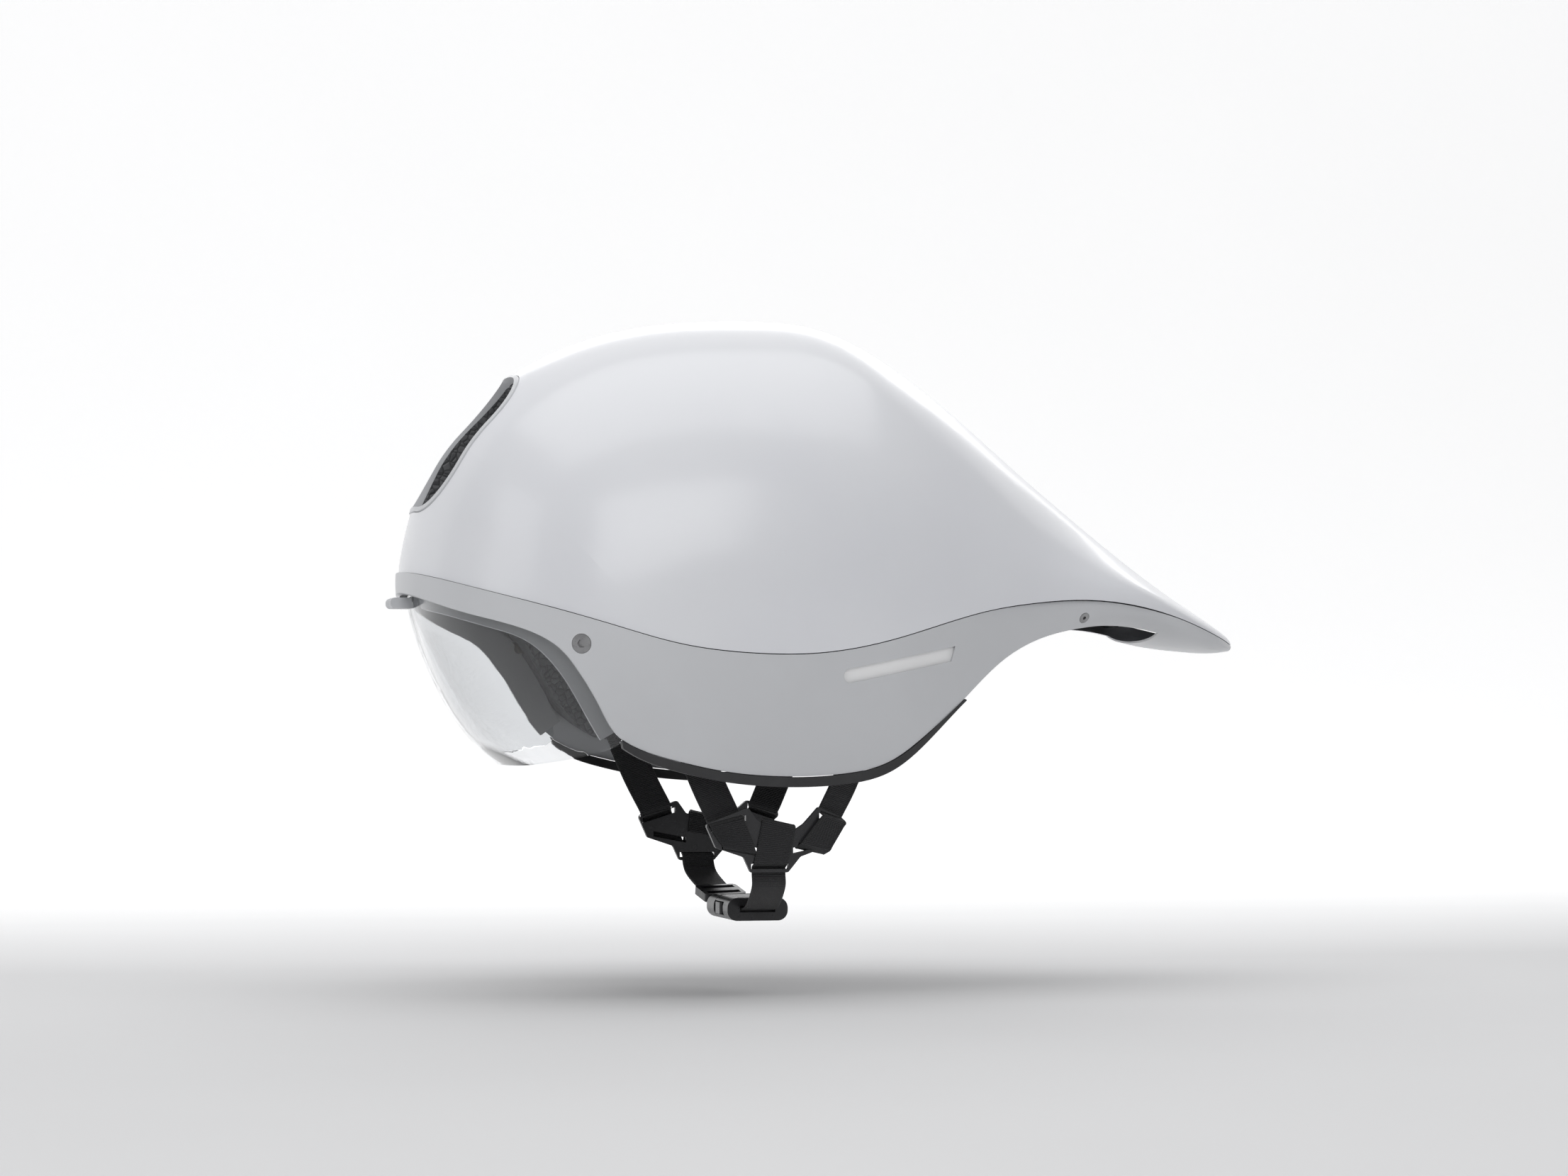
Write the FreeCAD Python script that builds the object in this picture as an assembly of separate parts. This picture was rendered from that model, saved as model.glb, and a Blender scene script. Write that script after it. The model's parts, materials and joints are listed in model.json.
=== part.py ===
"""Aero time-trial bicycle helmet with a clear visor, head cradle and chin straps.

Millimetres. The origin is where the head sits: on the symmetry plane, level with the ears, under the crown.
-X is the forehead, +X the tail, -Y the wearer's left, +Z up. One STEP file is written for each piece.
"""
import FreeCAD, Part
import math
import os
from FreeCAD import Vector

# ---- driving dimensions --------------------------------------------------------------------------------

WALL = 1.6                 # moulded shell thickness
SEAM_GAP = 0.4             # groove between upper and lower shell
BAND_PROUD = 1.2           # how far the brow band stands outside the upper shell
TAIL_TUCK = 2.6            # how far the lower shell sits inside the upper shell's lip at the tail
FOAM_INSET = 3.8           # foam outside face, inside the lower shell's outside face
LENS_INSET = 3.0           # lens outside face, inside the body surface
LENS_WALL = 1.8
REACH = 160.0              # half width of every tool that cuts straight through from side to side

HEAD_X = 5.0               # middle of the head room, fore and aft
HEAD_Z = 20.0              # widest level of the head room
HEAD_HALF_LENGTH = 105.0
HEAD_HALF_WIDTH = 78.5
HEAD_HEIGHT = 111.0        # from the widest level to the crown of the head room
HEAD_FLOOR = -110.0

VENT_MIDDLE = (-107.0, 103.0)      # x, z on the forehead
VENT_SLOPE = math.radians(54.0)    # how steeply the vent's long axis climbs
VENT_LENGTH = 74.0
VENT_WIDTH = 76.0
VENT_CORNER = 27.0
VENT_LIP = 1.8
VENT_PROUD = 0.5
VENT_FRAME_DEPTH = 3.2
DUCT_STEP = (5.0, 11.0)            # how far the foam reaches in behind the vent's ends and sides
INLAY_THICK = 1.45

WEB_WIDTH = 15.0
WEB_THICK = 1.2

DIAL_Z = 20.0
DIAL_RADIUS = 11.5
SHAFT_RADIUS = 2.5
RUNNING_GAP = 0.06
TOOTH_MODULE = 1.0
PINION_TEETH = 12
PITCH_RADIUS = TOOTH_MODULE * PINION_TEETH / 2

BUCKLE_X = 22.0
BUCKLE_Z = -100.5
BUCKLE_WIDTH = 27.0
BUCKLE_THICK = 10.0

# Sections through the outside of the body. Each is a closed curve in a plane that holds the Y direction:
# its top point, its bottom point, how far down the widest place is, the half width there, and how full
# the curve is above and below that place, where 1 is an ellipse and less is leaner.
SECTIONS = (
    ((-82.0, -46.0), (16.0, -105.0), 0.50, 68.0, 1.00, 1.00),
    ((-104.5, -25.5), (30.0, -108.0), 0.50, 73.5, 1.00, 1.00),
    ((-119.0, -3.0), (42.0, -110.0), 0.49, 79.0, 1.00, 0.99),
    ((-128.0, 19.0), (52.0, -110.0), 0.47, 84.5, 1.00, 0.98),
    ((-132.3, 42.0), (61.0, -110.0), 0.445, 90.5, 1.00, 0.97),
    ((-128.6, 66.0), (68.0, -110.0), 0.42, 95.0, 1.00, 0.96),
    ((-117.5, 97.5), (76.0, -110.0), 0.39, 98.5, 1.00, 0.95),
    ((-96.0, 123.0), (84.0, -110.0), 0.37, 99.8, 1.00, 0.95),
    ((-67.0, 142.0), (91.0, -109.0), 0.375, 100.0, 1.00, 0.95),
    ((-27.0, 154.5), (98.0, -107.0), 0.385, 98.5, 1.00, 0.95),
    ((14.0, 158.0), (106.0, -102.0), 0.40, 94.5, 1.00, 0.95),
    ((52.0, 155.0), (114.0, -92.0), 0.42, 88.0, 1.00, 0.95),
    ((84.0, 139.5), (121.0, -76.0), 0.435, 81.0, 0.99, 0.96),
    ((112.0, 119.5), (131.0, -54.0), 0.46, 74.0, 0.97, 0.98),
    ((140.0, 96.5), (142.0, -26.0), 0.50, 67.0, 0.93, 1.00),
    ((165.0, 76.0), (159.0, 2.0), 0.56, 61.5, 0.90, 1.00),
    ((188.0, 57.5), (182.0, 16.0), 0.57, 55.5, 0.88, 1.03),
    ((208.0, 42.5), (204.0, 15.5), 0.53, 46.5, 0.90, 1.05),
    ((226.0, 30.5), (224.0, 13.0), 0.50, 33.0, 0.96, 1.06),
    ((238.5, 22.5), (238.5, 12.2), 0.50, 19.0, 1.08, 1.08),
    ((245.0, 18.8), (245.6, 13.0), 0.50, 8.5, 1.08, 1.08),
)
AROUND = 32                # points around one section
SKIN_ROWS = 40             # rows and columns of points on an offset skin
SKIN_COLUMNS = 64
PATCH_SIDES = (0.0, 0.11, 0.5, 0.89, 1.0)      # where the skin is divided, as shares of the way round
PATCH_ENDS = (0.0, 0.25, 0.5, 0.75, 1.0)       # and as shares of the body's length
TAIL_ROOM = 0.7            # the deepest inset that fits in the tail tip

# The seam between the two shells, seen from the side (x, z).
SEAM = (
    (-170.0, 58.0), (-131.0, 45.4), (-111.5, 38.5), (-85.0, 30.3), (-57.5, 21.9), (-29.0, 14.0),
    (1.0, 10.3), (32.0, 10.4), (64.0, 16.0), (88.0, 22.9), (112.5, 29.3), (136.0, 32.8), (158.5, 34.3),
    (183.0, 32.5), (206.0, 27.6), (229.0, 20.8), (246.0, 15.6), (270.0, 9.0),
)
# The lower shell's free edge, seen from the side: brow, visor cut-out, ear, nape and tail.
BROW_EDGE = ((-170.0, 51.0), (-132.0, 36.3), (-116.6, 28.6), (-100.0, 23.0), (-88.0, 18.5))
CHEEK_EDGE = ((-77.5, 11.6), (-70.0, 2.0), (-61.0, -13.0), (-54.5, -23.5))
EAR_EDGE = ((-45.0, -29.8), (-28.6, -35.0), (-10.0, -39.0), (18.0, -41.6), (45.0, -40.8), (66.0, -36.0))
NAPE_EDGE = ((82.0, -25.0), (101.0, -8.6), (118.0, 6.8), (135.0, 16.1), (156.0, 21.6), (180.0, 23.6),
             (201.0, 20.7))

NODES = {}


# ---- helpers -------------------------------------------------------------------------------------------

def node(name, *shapes):
    """Keep one piece of the helmet under its own name."""
    NODES[name] = shapes[0] if len(shapes) == 1 else Part.makeCompound(shapes)


def mirrored(shape):
    """The same shape on the wearer's other side."""
    return shape.mirror(Vector(0, 0, 0), Vector(0, 1, 0))


def both_sides(name, shape):
    """A left and a right piece."""
    node(name + "_left", shape)
    node(name + "_right", mirrored(shape))


def box(low, high):
    return Part.makeBox(high[0] - low[0], high[1] - low[1], high[2] - low[2], Vector(*low))


def rounded_box(low, high, radius, direction):
    """A box whose edges along one direction are rounded."""
    block = box(low, high)
    along = Vector(*direction)
    edges = [e for e in block.Edges if abs(e.tangentAt(e.FirstParameter).dot(along)) > 0.99]
    return block.makeFillet(radius, edges)


def cylinder(start, end, radius):
    start, end = Vector(*start), Vector(*end)
    return Part.makeCylinder(radius, (end - start).Length, start, end - start)


def cone(start, end, start_radius, end_radius):
    start, end = Vector(*start), Vector(*end)
    return Part.makeCone(start_radius, end_radius, (end - start).Length, start, end - start)


def fuse(first, *others):
    return first.multiFuse(list(others)).removeSplitter()


def spline(points):
    curve = Part.BSplineCurve()
    curve.interpolate(points)
    return curve.toShape()


def polyline(points):
    return [Part.makeLine(a, b) for a, b in zip(points, points[1:])]


def side_view(x, z):
    return Vector(x, -REACH, z)


def side_region(curve, corners):
    """Everything, from side to side, inside a smooth curve closed by straight runs through the corners."""
    smooth = [side_view(x, z) for x, z in curve]
    straight = [smooth[-1]] + [side_view(x, z) for x, z in corners] + [smooth[0]]
    outline = Part.Wire([spline(smooth)] + polyline(straight))
    return Part.Face(outline).extrude(Vector(0, 2 * REACH, 0))


def side_band(upper, lower):
    """Everything, from side to side, between two smooth curves that run the same way."""
    top = [side_view(x, z) for x, z in upper]
    bottom = [side_view(x, z) for x, z in lower]
    ends = [Part.makeLine(top[-1], bottom[-1]), Part.makeLine(bottom[0], top[0])]
    outline = Part.Wire([spline(top), ends[0], spline(bottom), ends[1]])
    return Part.Face(outline).extrude(Vector(0, 2 * REACH, 0))


def shifted(points, dx, dz):
    return tuple((x + dx, z + dz) for x, z in points)


# ---- the body surface ----------------------------------------------------------------------------------

def section_points(top, bottom, widest, half_width, full_above, full_below):
    """Points around one closed section, starting and ending underneath."""
    top, bottom = Vector(top[0], 0, top[1]), Vector(bottom[0], 0, bottom[1])
    middle = top + (bottom - top) * widest
    points = []
    for i in range(AROUND + 1):
        angle = 2 * math.pi * (i / AROUND - 0.5)
        up, side = math.cos(angle), math.sin(angle)
        if i in (0, AROUND // 2, AROUND):
            side = 0.0
        arm, full = (top - middle, full_above) if up > 0 else (middle - bottom, full_below)
        swell = 1 - (1 - full) * math.sin(2 * angle) ** 2
        points.append(middle + arm * (up * swell) + Vector(0, half_width * side * swell, 0))
    return points


BODY = Part.BSplineSurface()
BODY.interpolate([section_points(*section) for section in SECTIONS])


def facing(section):
    """The direction square to a section's plane, towards the tail."""
    (top_x, top_z), (bottom_x, bottom_z) = section[:2]
    return Vector(top_z - bottom_z, 0, bottom_x - top_x).normalize()


FRONT_FACING = facing(SECTIONS[0])
TAIL_FACING = facing(SECTIONS[-1])


def skin(offset):
    """The body surface moved out by offset(x), as a surface whose two ends stay flat."""
    rows = []
    for i in range(SKIN_ROWS + 1):
        row = []
        for j in range(SKIN_COLUMNS):
            point = BODY.value(i / SKIN_ROWS, j / SKIN_COLUMNS)
            normal = BODY.normal(i / SKIN_ROWS, j / SKIN_COLUMNS)
            distance = offset(point.x)
            if i == 0:
                normal = (normal - FRONT_FACING * normal.dot(FRONT_FACING)).normalize()
                distance = offset(SECTIONS[0][0][0])
            if i == SKIN_ROWS:
                normal = (normal - TAIL_FACING * normal.dot(TAIL_FACING)).normalize() + TAIL_FACING
                distance = offset(SECTIONS[-1][0][0])
            row.append(point + normal * distance)
        rows.append(row + row[:1])
    surface = Part.BSplineSurface()
    surface.interpolate(rows)
    return surface


def body(offset):
    """A closed solid inside the offset skin: patches that meet at the crown and underneath, and flat ends."""
    whole = skin(offset)
    patches = []
    for start, end in zip(PATCH_ENDS, PATCH_ENDS[1:]):
        for first, last in zip(PATCH_SIDES, PATCH_SIDES[1:]):
            patch = whole.copy()
            patch.segment(start, end, first, last)
            patches.append(patch.toShape())
    caps = []
    for end in (PATCH_ENDS[0], PATCH_ENDS[-1]):
        rim = [whole.uIso(end).toShape(first, last) for first, last in zip(PATCH_SIDES, PATCH_SIDES[1:])]
        caps.append(Part.Face(Part.Wire(rim)))
    shell = Part.Shell(patches + caps)
    shell.sewShape()
    solid = Part.Solid(shell)
    if solid.Volume < 0:
        solid.reverse()
    return solid


def wall(outer, inner, region):
    """The part of the wall between two bodies that lies in a region."""
    return outer.common(region).cut(inner)


def ramp(x, start, end):
    """0 before start, 1 after end, smooth between."""
    t = min(max((x - start) / (end - start), 0.0), 1.0)
    return t * t * (3 - 2 * t)


def lower_offset(x):
    """The lower shell is proud at the brow and tucked in at the tail, but level again at its tip."""
    tuck = TAIL_TUCK * ramp(x, 90.0, 150.0) * (1 - ramp(x, 180.0, 214.0))
    return BAND_PROUD * (1 - ramp(x, -60.0, 20.0)) - tuck


def fading(inset, x):
    """An inset deeper than the thin tail can hold fades out towards its tip."""
    return min(inset, TAIL_ROOM) + max(inset - TAIL_ROOM, 0.0) * (1 - ramp(x, 100.0, 232.0))


def lower_body(inset):
    return body(lambda x: lower_offset(x) - fading(inset, x))


def upper_body(inset):
    return body(lambda x: -fading(inset, x))


BODY_FACE = BODY.toShape()


def surface_point(x, z):
    """The point on the wearer's left of the body at x, z and the outward normal there."""
    probe = Part.makeLine(Vector(x, -REACH, z), Vector(x, -1, z))
    point = BODY_FACE.section(probe).Vertexes[0].Point
    u, v = BODY.parameter(point)
    return point, BODY.normal(u, v)


# ---- shells --------------------------------------------------------------------------------------------

ABOVE_SEAM = side_region(SEAM, ((300.0, 300.0), (-200.0, 300.0)))
BELOW_SEAM = side_region(shifted(SEAM, 0, -SEAM_GAP), ((300.0, -200.0), (-200.0, -200.0)))
FREE_EDGE = BROW_EDGE + CHEEK_EDGE + EAR_EDGE + NAPE_EDGE
INSIDE_EDGE = side_region(FREE_EDGE, ((206.0, -20.0), (300.0, -20.0), (300.0, 300.0), (-200.0, 300.0)))


def vent_prism(length, width, corner, depth_out, depth_in):
    """A rounded slab across the forehead vent, standing square to its slope."""
    low = (-length / 2, -width / 2, -depth_in)
    high = (length / 2, width / 2, depth_out)
    slab = rounded_box(low, high, corner, (0, 0, 1))
    slab.rotate(Vector(0, 0, 0), Vector(0, 1, 0), -math.degrees(VENT_SLOPE))
    slab.translate(Vector(VENT_MIDDLE[0], 0, VENT_MIDDLE[1]))
    return slab


def side_slot(depth, margin):
    """The raked slot behind the ear; margin makes it larger all round."""
    start = Vector(46.0, -REACH, 0.7)
    end = Vector(92.0, -REACH, 9.9)
    along = (end - start).normalize()
    across = Vector(-along.z, 0, along.x)
    half = 3.0 + margin
    top_end = end + across * half + along * (3.2 + margin)
    low_end = end - across * half + along * (0.4 + margin)
    a, b = start + across * half, start - across * half
    nose = Part.Arc(a, start - along * half, b).toShape()
    outline = Part.Wire([nose] + polyline([b, low_end, top_end, a]))
    return Part.Face(outline).extrude(Vector(0, depth, 0))


TEMPLE_POINT, TEMPLE_NORMAL = surface_point(-69.0, 13.8)
TAIL_SCREW_POINT, TAIL_SCREW_NORMAL = surface_point(161.0, 25.2)
SLOT_DEPTH = REACH - 20.0
INSERT_RADIUS = 3.1
TEMPLE_HEAD, TEMPLE_SHANK, TEMPLE_LENGTH = 4.0, 2.0, 9.0      # radii and length of the temple screw
TAIL_HEAD, TAIL_SHANK, TAIL_LENGTH = 2.4, 1.25, 6.0
SCREW_BRIM = 0.5           # straight part of a countersunk head
SCREW_ROOM = 0.15          # gap round a screw in its shell


def along(point, normal, distance):
    return tuple(point + normal * distance)


def countersunk(point, normal, proud, head_radius, shank_radius, length, clearance=0.0):
    """A countersunk screw, or the hole for it when clearance is given."""
    head = head_radius + clearance
    shank = shank_radius + clearance
    top = along(point, normal, proud + 6 * clearance)
    brim = along(point, normal, proud - SCREW_BRIM)
    neck = along(point, normal, proud - SCREW_BRIM - head + shank)
    end = along(point, normal, proud - length)
    return fuse(cylinder(brim, top, head), cone(brim, neck, head, shank), cylinder(brim, end, shank))


def insert_room(grow):
    """The space the temple insert takes inside the shell, grown all round."""
    return cylinder(along(TEMPLE_POINT, TEMPLE_NORMAL, 5.0), along(TEMPLE_POINT, TEMPLE_NORMAL, -11.2 - grow),
                    INSERT_RADIUS + grow)


def hex_socket(point, normal, proud, across_flats, depth):
    radius = across_flats / math.sqrt(3)
    start = Vector(*along(point, normal, proud - depth))
    side = normal.cross(Vector(0, 0, 1)).normalize()
    up = side.cross(normal)
    corners = [start + side * (radius * math.cos(k * math.pi / 3)) + up * (radius * math.sin(k * math.pi / 3))
               for k in range(7)]
    return Part.Face(Part.makePolygon(corners)).extrude(normal * (depth + 1))


def shells():
    vent = vent_prism(VENT_LENGTH, VENT_WIDTH, VENT_CORNER, 40, 30)
    node("upper_shell", wall(upper_body(0), upper_body(WALL), ABOVE_SEAM).cut(vent))
    lower = wall(lower_body(0), lower_body(WALL), BELOW_SEAM.common(INSIDE_EDGE))
    proud = lower_offset(TEMPLE_POINT.x)
    tail = lower_offset(TAIL_SCREW_POINT.x)
    cuts = [side_slot(SLOT_DEPTH, 0.0),
            countersunk(TEMPLE_POINT, TEMPLE_NORMAL, proud, TEMPLE_HEAD, TEMPLE_SHANK, TEMPLE_LENGTH, SCREW_ROOM),
            countersunk(TAIL_SCREW_POINT, TAIL_SCREW_NORMAL, tail, TAIL_HEAD, TAIL_SHANK, TAIL_LENGTH, SCREW_ROOM)]
    for cut in cuts:
        lower = lower.cut(cut).cut(mirrored(cut))
    node("lower_shell", lower)


def screws():
    proud = lower_offset(TEMPLE_POINT.x)
    screw = countersunk(TEMPLE_POINT, TEMPLE_NORMAL, proud, TEMPLE_HEAD, TEMPLE_SHANK, TEMPLE_LENGTH)
    screw = screw.cut(hex_socket(TEMPLE_POINT, TEMPLE_NORMAL, proud, 3.2, 1.9))
    both_sides("temple_screw", screw)
    insert = cylinder(along(TEMPLE_POINT, TEMPLE_NORMAL, proud - WALL - 0.4),
                      along(TEMPLE_POINT, TEMPLE_NORMAL, proud - 11.0), INSERT_RADIUS)
    hole = cylinder(along(TEMPLE_POINT, TEMPLE_NORMAL, proud),
                    along(TEMPLE_POINT, TEMPLE_NORMAL, proud - TEMPLE_LENGTH - 0.6), TEMPLE_SHANK + 0.05)
    clear = countersunk(TEMPLE_POINT, TEMPLE_NORMAL, proud, TEMPLE_HEAD, TEMPLE_SHANK, TEMPLE_LENGTH, SCREW_ROOM)
    both_sides("temple_insert", insert.cut(hole).cut(clear))
    tail = lower_offset(TAIL_SCREW_POINT.x)
    small = countersunk(TAIL_SCREW_POINT, TAIL_SCREW_NORMAL, tail, TAIL_HEAD, TAIL_SHANK, TAIL_LENGTH)
    small = small.cut(hex_socket(TAIL_SCREW_POINT, TAIL_SCREW_NORMAL, tail, 1.5, 1.0))
    both_sides("tail_screw", small)


def edge_trim():
    """The rubber bead that closes the lower shell's edge round the ear and nape."""
    run = ((-52.0, -26.2),) + EAR_EDGE + NAPE_EDGE[:2]
    hang = (3.6, 4.2, 4.6, 4.6, 4.6, 4.6, 4.4, 3.2, 0.9)
    lower = tuple((x + 1.0, z - drop) for (x, z), drop in zip(run, hang))
    below = side_band(shifted(run, 0.1, -0.35), lower)
    node("edge_trim", wall(lower_body(-0.5), lower_body(WALL + 2.0), below))


def side_inlays():
    back = lower_body(WALL + 0.15 + INLAY_THICK)
    both_sides("side_inlay", wall(lower_body(WALL + 0.15), back, side_slot(SLOT_DEPTH, 1.8)))


def vent_frame():
    """A deep lip round the forehead vent."""
    ring = vent_prism(VENT_LENGTH - 0.6, VENT_WIDTH - 0.6, VENT_CORNER - 0.3, 40, 30)
    ring = ring.cut(vent_prism(VENT_LENGTH - 0.6 - 2 * VENT_LIP, VENT_WIDTH - 0.6 - 2 * VENT_LIP,
                               VENT_CORNER - 0.3 - VENT_LIP, 41, 31))
    node("vent_frame", wall(upper_body(-VENT_PROUD), upper_body(VENT_FRAME_DEPTH), ring))


# ---- foam and pads -------------------------------------------------------------------------------------

FOAM_EDGE = (
    (-170.0, 62.0), (-129.0, 46.0), (-106.0, 38.0), (-86.0, 31.0), (-70.0, 19.0), (-60.0, 4.0),
    (-48.0, -14.0), (-34.0, -24.0), (-10.0, -30.0), (20.0, -32.5), (48.0, -31.0), (67.0, -25.0),
    (84.0, -13.0), (103.0, 2.5), (120.0, 15.0), (137.0, 23.5), (158.0, 27.5), (182.0, 28.0), (203.0, 24.5),
)


def head_room(grow):
    """The space for the head: half an ellipsoid over an elliptical column."""
    length, height = HEAD_HALF_LENGTH + grow, HEAD_HEIGHT + grow
    top, side = Vector(0, 0, height), Vector(length, 0, 0)
    long_end, short_end = (side, top) if length >= height else (top, side)
    crown = Part.Ellipse(long_end, short_end, Vector(0, 0, 0))
    angles = sorted(crown.parameter(p) for p in (top, side))
    if angles[1] - angles[0] > math.pi:
        angles = [angles[1] - 2 * math.pi, angles[0]]
    arch = crown.toShape(*angles)
    floor = HEAD_FLOOR - HEAD_Z
    outline = [arch] + polyline([side, Vector(length, 0, floor), Vector(0, 0, floor), top])
    room = Part.Face(Part.Wire(Part.__sortEdges__(outline))).revolve(Vector(0, 0, 0), Vector(0, 0, 1), 360)
    squeeze = FreeCAD.Matrix()
    squeeze.scale(1, (HEAD_HALF_WIDTH + grow) / length, 1)
    room = room.transformGeometry(squeeze)
    room.translate(Vector(HEAD_X, 0, HEAD_Z))
    return room


def foam_liner():
    foam = lower_body(FOAM_INSET)
    foam = foam.common(side_region(FOAM_EDGE, ((203.5, 300.0), (-200.0, 300.0))))
    foam = foam.cut(head_room(0))
    duct = vent_prism(VENT_LENGTH - 2 * DUCT_STEP[0], VENT_WIDTH - 2 * DUCT_STEP[1], VENT_CORNER - 9, 40, 60)
    outlet = Part.Face(Part.makePolygon([Vector(x, -25, z) for x, z in (
        (92, 58), (92, 88), (130, 76), (160, 58), (186, 42), (204, 30), (204, 0), (160, 0), (158, 24), (140, 40),
        (92, 58))])).extrude(Vector(0, 50, 0))
    foam = foam.cut(duct).cut(outlet)
    groove_roof = head_room(9.0)
    for y in (-34.0, 0.0, 34.0):
        groove = groove_roof.common(box((-85, y - 7, 60), (95, y + 7, 160)))
        foam = foam.cut(groove)
    foam = foam.cut(box((85, -50, -20), (129, 50, 47)))
    front_pocket = box((-41.5, -77.6, -40), (-12, -65, 10.6))
    rear_pocket = box((52, -62.4, -40), (80.5, -50, 12.6))
    rear_pocket.rotate(Vector(70, -59, 4), Vector(0, 0, 1), 24)
    for pocket in (front_pocket, rear_pocket):
        foam = foam.cut(pocket).cut(mirrored(pocket))
    screw_room = cylinder(along(TAIL_SCREW_POINT, TAIL_SCREW_NORMAL, 5),
                          along(TAIL_SCREW_POINT, TAIL_SCREW_NORMAL, -12), 1.4)
    for hole in (insert_room(0.2), screw_room):
        foam = foam.cut(hole).cut(mirrored(hole))
    recess = vent_prism(VENT_LENGTH + 1, VENT_WIDTH + 1, VENT_CORNER, 40, 30)
    foam = foam.cut(recess.cut(upper_body(VENT_FRAME_DEPTH + 0.4)))
    node("foam_liner", foam)


def comfort_pad(low, high, thick=4.0):
    """A pad glued to the head room's wall, inside a box."""
    return wall(head_room(-0.3), head_room(-0.3 - thick), box(low, high))


def comfort_pads():
    node("brow_pad", comfort_pad((-140, -52, 33), (-40, 52, 56)))
    node("crown_pad", comfort_pad((-45, -6, 90), (45, 6, 150)))
    both_sides("top_pad", comfort_pad((-50, -47, 90), (40, -28, 150)))
    both_sides("side_pad", comfort_pad((-45, -90, 30), (45, -20, 62), 3.0))


# ---- visor ---------------------------------------------------------------------------------------------

LENS_TUCK = (
    (-170.0, 54.0), (-131.5, 39.3), (-116.0, 31.8), (-99.0, 26.4), (-85.5, 21.8), (-74.0, 12.9),
    (-64.5, 4.8), (-56.0, -10.0), (-50.5, -20.0),
)
LENS_HEM = ((-51.5, -27.5), (-56.5, -30.8), (-64.0, -33.0), (-74.0, -35.3), (-86.0, -37.6), (-110.0, -41.0))
VISOR_MAGNET_SPOTS = ((-69.5, 6.5), (-60.5, -8.0))


def inward_disc(x, z, radius, outer, inner):
    """A disc in the body's wall at x, z, from one inset to another."""
    point, normal = surface_point(x, z)
    return cylinder(along(point, normal, -outer), along(point, normal, -inner), radius)


def visor():
    region = side_region(LENS_TUCK + LENS_HEM, ((-170.0, -45.0),))
    lens = wall(upper_body(LENS_INSET), upper_body(LENS_INSET + LENS_WALL), region)
    magnets = [inward_disc(x, z, 2.2, LENS_INSET + 0.05, LENS_INSET + LENS_WALL - 0.05)
               for x, z in VISOR_MAGNET_SPOTS]
    for disc in magnets:
        lens = lens.cut(disc).cut(mirrored(disc))
    node("visor_lens", lens)
    both_sides("visor_magnets", Part.makeCompound(magnets))
    tab = rounded_box((-137.5, -8, 30.2), (-120.0, 8, 34.8), 2.0, (0, 1, 0))
    node("visor_tab", tab.cut(upper_body(LENS_INSET - 0.02)))


LEDGE_LOW = ((-128.5, 32.4), (-114.5, 25.8), (-101.0, 20.6), (-90.0, 16.0), (-81.5, 9.0), (-74.0, -0.6),
             (-65.0, -15.6), (-58.5, -26.1))
LEDGE_ROOT = ((-128.5, 39.4), (-114.5, 33.4), (-99.5, 28.9), (-85.0, 24.0), (-71.4, 15.6), (-63.7, 6.2),
              (-54.7, -8.8), (-48.2, -19.3))
LEDGE_HIGH = ((-128.5, 40.8), (-114.5, 34.8), (-99.0, 30.3), (-84.0, 25.3), (-69.9, 16.6), (-62.4, 7.0),
              (-53.4, -8.0), (-46.9, -18.5))


def visor_ledge():
    """A step inside each half of the visor's opening that the lens closes against, with its magnets in it."""
    face = side_band(LEDGE_LOW, LEDGE_HIGH)
    root = side_band(LEDGE_ROOT, LEDGE_HIGH)
    left_side = box((-170, -REACH, -100), (0, -16, 100))
    back = upper_body(LENS_INSET + LENS_WALL + 2.6)
    wing = wall(upper_body(LENS_INSET + LENS_WALL + 0.5), back, face.common(left_side))
    web = wall(upper_body(WALL - BAND_PROUD + 0.1), back, root.common(left_side))
    left = fuse(wing, web).cut(insert_room(0.3))
    inset = LENS_INSET + LENS_WALL
    magnets = [inward_disc(x, z, 2.4, inset + 0.6, inset + 2.2) for x, z in VISOR_MAGNET_SPOTS]
    for disc in magnets:
        left = left.cut(disc)
    both_sides("visor_ledge", left)
    both_sides("shell_magnets", Part.makeCompound(magnets))


# ---- head cradle ---------------------------------------------------------------------------------------

def involute(base, radius):
    return math.sqrt((radius / base) ** 2 - 1) - math.acos(base / radius)


def pinion():
    """Twelve involute teeth round the dial's shaft."""
    base = PITCH_RADIUS * math.cos(math.radians(20))
    tip, root = PITCH_RADIUS + 0.9 * TOOTH_MODULE, PITCH_RADIUS - 1.15 * TOOTH_MODULE
    half = math.pi / (2 * PINION_TEETH) - 0.035 + involute(base, PITCH_RADIUS)
    points = []
    for k in range(PINION_TEETH):
        middle = 2 * math.pi * (k + 0.5) / PINION_TEETH
        flank = [(root, half), (base + 0.01, half)]
        flank += [(r, half - involute(base, r)) for r in (PITCH_RADIUS - 0.1, PITCH_RADIUS + 0.4, tip)]
        for radius, angle in flank:
            points.append((radius, middle - angle))
        for radius, angle in reversed(flank):
            points.append((radius, middle + angle))
    ring = [Vector(111.8, r * math.sin(a), DIAL_Z + r * math.cos(a)) for r, a in points]
    return Part.Face(Part.makePolygon(ring + ring[:1])).extrude(Vector(2.4, 0, 0))


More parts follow.
